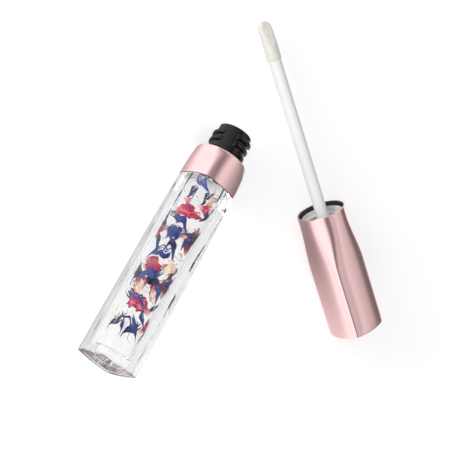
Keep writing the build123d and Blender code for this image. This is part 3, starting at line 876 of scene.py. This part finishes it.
table_top, table_tree, table_body = shader("white table", {"Base Color": (0.58, 0.58, 0.58, 1),
                                                           "Roughness": 0.9, "Specular IOR Level": 0.0})
seen = node(table_tree, "LightPath", {}).outputs
through_glass = maths(table_tree, "MULTIPLY", seen["Is Transmission Ray"], light_through_glass)
straight_on = maths(table_tree, "MAXIMUM", seen["Is Camera Ray"], through_glass)
ground = maths(table_tree, "MULTIPLY", straight_on, ground_light)
mirrored = maths(table_tree, "SUBTRACT", seen["Is Glossy Ray"], seen["Is Transmission Ray"], clamp=True)
table_place = own_place(table_tree)
# Painted shade in reflections: the glow that glossy rays see is dimmed round the card's point and beside the
# bottle.
from_card = vectors(table_tree, "DISTANCE", table_place, painted_card_place)
across_table = vectors(table_tree, "MULTIPLY", table_place, (0, 1, 0), "Vector")
off_axis = vectors(table_tree, "DISTANCE", across_table, (0, axis_y, 0))
painted_reflection_shade = maths(table_tree, "MULTIPLY", ranged(table_tree, from_card, card_near, card_far),
               ranged(table_tree, off_axis, beside_near, beside_far, beside_light))
glow = node(table_tree, "Emission", {"Strength": maths(table_tree, "MULTIPLY_ADD", mirrored, painted_reflection_shade, ground)})
added = node(table_tree, "AddShader", {0: table_body.outputs[0], 1: glow.outputs[0]})
fill(table_tree, table_tree.nodes["Material Output"], {"Surface": added.outputs[0]})
floor_grid = floor_half * np.array([[(-1, -1, 0), (-1, 1, 0)], [(1, -1, 0), (1, 1, 0)]], float)
table = skin("table", [floor_grid], lambda points: points, [table_top])

# ------------------------------------------------------------- light and camera
# A broad low lamp, and a soft dome whose light runs in bands round the view's upright axis, one set
# for what faces the bottle's end and one for the cap's. Its dark bands stand in for dark cards.

view_right = np.array((-0.45681, 0.61282, 0.64481))
view_up = np.array((-0.83060, -0.55335, -0.06253))
view_back = np.array((0.31849, -0.56414, 0.76178))
lamp_distance = 0.55
dome_strength = 1.7
matt_change = -0.5
glass_share = 0.65
glass_grey = (0.43, 0.43, 0.44, 1)


def standing(right, up, back, place):
    """Matrix of a lamp or camera from its three axes and its place."""
    return Matrix((*zip(right, up, back, place), (0, 0, 0, 1)))


lamp_data = bpy.data.lights.new("side lamp", "AREA")
lamp_data.shape = "DISK"
lamp_data.size = 0.30
lamp_data.energy = 1.5
lamp_way = -0.50 * view_right + 0.30 * view_up + 0.81 * view_back
lamp_way /= np.linalg.norm(lamp_way)
lamp_across = np.cross((0, 0, 1), lamp_way)
lamp_across /= np.linalg.norm(lamp_across)
lamp = placed("side lamp", lamp_data)
lamp.matrix_world = standing(lamp_across, np.cross(lamp_way, lamp_across), lamp_way, lamp_distance * lamp_way)

dome = bpy.data.worlds.new("soft dome")
dome.use_nodes = True
bpy.context.scene.world = dome
sky = dome.node_tree
way = node(sky, "TexCoord", {}).outputs["Generated"]
turned_by = maths(sky, "ARCTAN2", vectors(sky, "DOT_PRODUCT", way, view_right),
                  vectors(sky, "DOT_PRODUCT", way, view_back))
spread_out = ranged(sky, turned_by, -math.pi, math.pi)


def bands_of_light(*pairs):
    """Ramp round the dome from (degrees, light) pairs, positive to the right of the view."""
    return ramp(sky, spread_out, *((degrees / 360 + 0.5, (level / dome_strength,) * 3)
                                   for degrees, level in pairs))


over_bottle = bands_of_light((-180, 0.5), (-120, 0.8), (-65, 1.35), (-30, 1.4), (8, 1.05), (34, 0.65),
                             (46, 0.5), (50, 0.30), (56, 0.22), (61, 0.85), (66, 1.08), (80, 1.05),
                             (88, 0.85), (96, 0.66), (104, 0.24), (120, 0.18), (180, 0.5))
over_cap = bands_of_light((-180, 0.5), (-120, 0.8), (-65, 1.40), (-50, 1.50), (2, 1.50), (12, 0.85),
                          (18, 0.26), (33, 0.24), (41, 0.85), (53, 0.66), (60, 1.0), (75, 0.84), (90, 0.62),
                          (109, 0.38), (130, 0.22), (180, 0.5))
halves = ranged(sky, vectors(sky, "DOT_PRODUCT", way, view_up), -0.15, 0.05)
ray = node(sky, "LightPath", {}).outputs
light = laid_over(sky, halves, over_cap, over_bottle)
light = laid_over(sky, maths(sky, "MULTIPLY", ray["Is Transmission Ray"], glass_share), light, glass_grey)
light = laid_over(sky, ray["Is Camera Ray"], light, (*(1 / dome_strength,) * 3, 1))
strength = maths(sky, "MULTIPLY_ADD", ray["Is Diffuse Ray"], matt_change, dome_strength)
fill(sky, sky.nodes["Background"], {"Color": light, "Strength": strength})

camera_data = bpy.data.cameras.new("camera")
camera_data.lens = 151.04
camera_data.sensor_width = 36.0
camera_data.clip_end = 20
camera = placed("camera", camera_data)
camera_place = (base_x + 0.13645, axis_y - 0.33243, 0.47954)
camera.matrix_world = standing(view_right, view_up, view_back, camera_place)
bpy.context.scene.camera = camera
bpy.context.scene.view_settings.view_transform = "Standard"
for bounces, count in (("max_bounces", 32), ("glossy_bounces", 24), ("transmission_bounces", 32)):
    setattr(bpy.context.scene.cycles, bounces, count)
